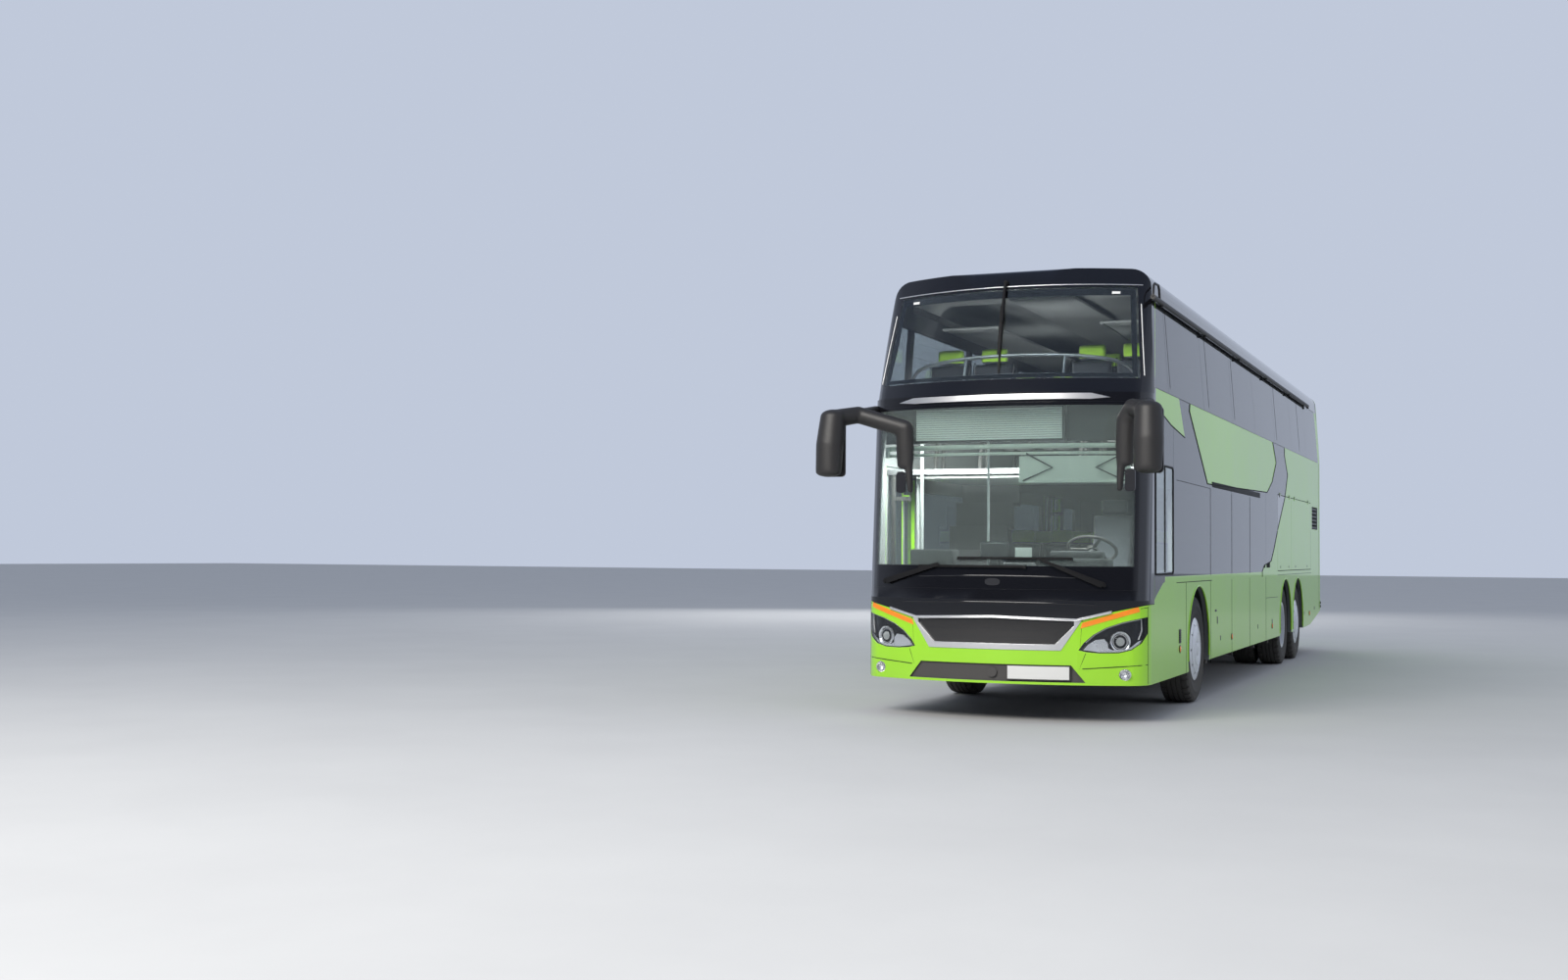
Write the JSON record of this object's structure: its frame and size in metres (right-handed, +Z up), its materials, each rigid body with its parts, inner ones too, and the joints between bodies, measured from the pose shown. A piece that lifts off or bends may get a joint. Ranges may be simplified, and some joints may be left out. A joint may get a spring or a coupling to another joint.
{
  "type": "double-decker coach",
  "caption": "Three-axle double-decker touring coach with steered wheels, swing-out doors, luggage flaps and an engine lid.",
  "frame": {"origin": "on the ground, at the middle of the coach's overall length and width, mirrors included", "axes": "+X forwards, +Y to the coach's left, +Z up"},
  "size_m": [14.3755, 3.05, 3.997],
  "materials": {
    "frame_black": "satin chassis paint",
    "axle_black": "satin painted casting",
    "engine_grey": "painted casting",
    "floor_grey": "safety flooring",
    "bay_grey": "luggage bay lining",
    "stair_grey": "safety flooring",
    "seat_fabric": "woven seat cover",
    "dash_black": "grained moulding",
    "lime_paint": "gloss lime green",
    "gloss_black": "gloss black",
    "trim_dark": "gloss dark trim",
    "bright_trim": "polished trim",
    "clear_glass": "clear laminated glass",
    "dark_glass": "dark tinted glass",
    "lamp_lens": "clear lens over reflectors",
    "matt_black": "grained black",
    "arm_grey": "satin grey",
    "tyre_rubber": "moulded rubber",
    "wheel_silver": "silver enamel"
  },
  "bodies": {
    "coach": {"chassis_frame": "frame_black", "front_axle": "axle_black", "drive_axle": "axle_black", "tag_axle": "axle_black", "engine": "engine_grey", "lower_floor": "floor_grey", "luggage_bay": "bay_grey", "upper_floor": "floor_grey", "stairs": "stair_grey", "seats": "seat_fabric", "cockpit": "dash_black", "wall_left": "lime_paint", "wall_right": "lime_paint", "roof": "lime_paint", "front_mask": "gloss_black", "front_crown": "gloss_black", "front_bumper": "lime_paint", "front_trim": "trim_dark", "front_chrome": "bright_trim", "rear_wall": "lime_paint", "windscreens": "clear_glass", "side_windows": "dark_glass", "rear_window": "dark_glass", "lamps": "lamp_lens", "mirrors": "matt_black", "wipers": "matt_black", "branch_guards": "matt_black"},
    "knuckle_front_left": {"knuckle_front_left": "axle_black"},
    "wheel_front_left": {"tyre_front_left": "tyre_rubber", "wheel_front_left": "wheel_silver"},
    "knuckle_front_right": {"knuckle_front_right": "axle_black"},
    "wheel_front_right": {"tyre_front_right": "tyre_rubber", "wheel_front_right": "wheel_silver"},
    "wheel_drive_left": {"tyre_drive_left": "tyre_rubber", "wheel_drive_left": "wheel_silver"},
    "wheel_drive_right": {"tyre_drive_right": "tyre_rubber", "wheel_drive_right": "wheel_silver"},
    "knuckle_tag_left": {"knuckle_tag_left": "axle_black"},
    "wheel_tag_left": {"tyre_tag_left": "tyre_rubber", "wheel_tag_left": "wheel_silver"},
    "knuckle_tag_right": {"knuckle_tag_right": "axle_black"},
    "wheel_tag_right": {"tyre_tag_right": "tyre_rubber", "wheel_tag_right": "wheel_silver"},
    "steering_wheel": {"steering_wheel": "dash_black"},
    "front_door_arm": {"front_door_arm": "arm_grey"},
    "front_door": {"front_door": "lime_paint", "front_door_glass": "dark_glass"},
    "mid_door_arm": {"mid_door_arm": "arm_grey"},
    "mid_door": {"mid_door": "lime_paint", "mid_door_glass": "dark_glass"},
    "flap_left_fore": {"flap_left_fore": "lime_paint"},
    "flap_left_aft": {"flap_left_aft": "lime_paint"},
    "flap_right_fore": {"flap_right_fore": "lime_paint"},
    "flap_right_aft": {"flap_right_aft": "lime_paint"},
    "engine_lid": {"engine_lid": "lime_paint"}
  },
  "joints": [
    {"name": "steer_front_left", "type": "hinge", "parent": "coach", "child": "knuckle_front_left", "pos_m": [3.9325, 0.93, 0.522], "axis": [0, 0, 1], "range_deg": [-45, 45]},
    {"name": "steer_front_right", "type": "hinge", "parent": "coach", "child": "knuckle_front_right", "pos_m": [3.9325, -0.93, 0.522], "axis": [0, 0, 1], "range_deg": [-45, 45]},
    {"name": "steer_tag_left", "type": "hinge", "parent": "coach", "child": "knuckle_tag_left", "pos_m": [-4.1175, 0.93, 0.522], "axis": [0, 0, 1], "range_deg": [-15, 15]},
    {"name": "steer_tag_right", "type": "hinge", "parent": "coach", "child": "knuckle_tag_right", "pos_m": [-4.1175, -0.93, 0.522], "axis": [0, 0, 1], "range_deg": [-15, 15]},
    {"name": "steering_wheel_turn", "type": "hinge", "parent": "coach", "child": "steering_wheel", "pos_m": [5.7725, 0.64, 1.49], "axis": [-0.5299, 0, 0.848], "range_deg": [-720, 720]},
    {"name": "spin_front_left", "type": "hinge", "parent": "knuckle_front_left", "child": "wheel_front_left", "pos_m": [3.9325, 1.1, 0.522], "axis": [0, 1, 0], "continuous": true},
    {"name": "spin_front_right", "type": "hinge", "parent": "knuckle_front_right", "child": "wheel_front_right", "pos_m": [3.9325, -1.1, 0.522], "axis": [0, 1, 0], "continuous": true},
    {"name": "spin_drive_left", "type": "hinge", "parent": "coach", "child": "wheel_drive_left", "pos_m": [-2.7675, 1.1, 0.522], "axis": [0, 1, 0], "continuous": true},
    {"name": "spin_drive_right", "type": "hinge", "parent": "coach", "child": "wheel_drive_right", "pos_m": [-2.7675, -1.1, 0.522], "axis": [0, 1, 0], "continuous": true},
    {"name": "spin_tag_left", "type": "hinge", "parent": "knuckle_tag_left", "child": "wheel_tag_left", "pos_m": [-4.1175, 1.1, 0.522], "axis": [0, 1, 0], "continuous": true},
    {"name": "spin_tag_right", "type": "hinge", "parent": "knuckle_tag_right", "child": "wheel_tag_right", "pos_m": [-4.1175, -1.1, 0.522], "axis": [0, 1, 0], "continuous": true},
    {"name": "front_door_swing", "type": "hinge", "parent": "coach", "child": "front_door_arm", "pos_m": [6.0385, -1.17, 1.3], "axis": [0, 0, 1], "range_deg": [0, 156]},
    {"name": "front_door_follow", "type": "hinge", "parent": "front_door_arm", "child": "front_door", "pos_m": [5.6315, -1.17, 1.3], "axis": [0, 0, 1], "range_deg": [-156, 0]},
    {"name": "mid_door_swing", "type": "hinge", "parent": "coach", "child": "mid_door_arm", "pos_m": [0.3385, -1.17, 1.3], "axis": [0, 0, 1], "range_deg": [0, 156]},
    {"name": "mid_door_follow", "type": "hinge", "parent": "mid_door_arm", "child": "mid_door", "pos_m": [-0.0685, -1.17, 1.3], "axis": [0, 0, 1], "range_deg": [-156, 0]},
    {"name": "flap_left_fore_lift", "type": "hinge", "parent": "coach", "child": "flap_left_fore", "pos_m": [-2.67575, 1.2805, 2.2495], "axis": [1, 0, 0], "range_deg": [0, 95]},
    {"name": "flap_left_aft_lift", "type": "hinge", "parent": "coach", "child": "flap_left_aft", "pos_m": [-4.55425, 1.2805, 2.2495], "axis": [1, 0, 0], "range_deg": [0, 95]},
    {"name": "flap_right_fore_lift", "type": "hinge", "parent": "coach", "child": "flap_right_fore", "pos_m": [-2.67575, -1.2805, 2.2495], "axis": [-1, 0, 0], "range_deg": [0, 95]},
    {"name": "flap_right_aft_lift", "type": "hinge", "parent": "coach", "child": "flap_right_aft", "pos_m": [-4.55425, -1.2805, 2.2495], "axis": [-1, 0, 0], "range_deg": [0, 95]},
    {"name": "engine_lid_lift", "type": "hinge", "parent": "coach", "child": "engine_lid", "pos_m": [-7.158, 0, 1.7645], "axis": [0, 1, 0], "range_deg": [0, 80]}
  ],
  "couplings": [
    {"joint": "steer_front_right", "follows": "steer_front_left", "ratio": 1},
    {"joint": "steer_tag_left", "follows": "steer_front_left", "ratio": -0.3},
    {"joint": "steer_tag_right", "follows": "steer_front_left", "ratio": -0.3},
    {"joint": "steering_wheel_turn", "follows": "steer_front_left", "ratio": 16},
    {"joint": "front_door_follow", "follows": "front_door_swing", "ratio": -1},
    {"joint": "mid_door_follow", "follows": "mid_door_swing", "ratio": -1}
  ]
}
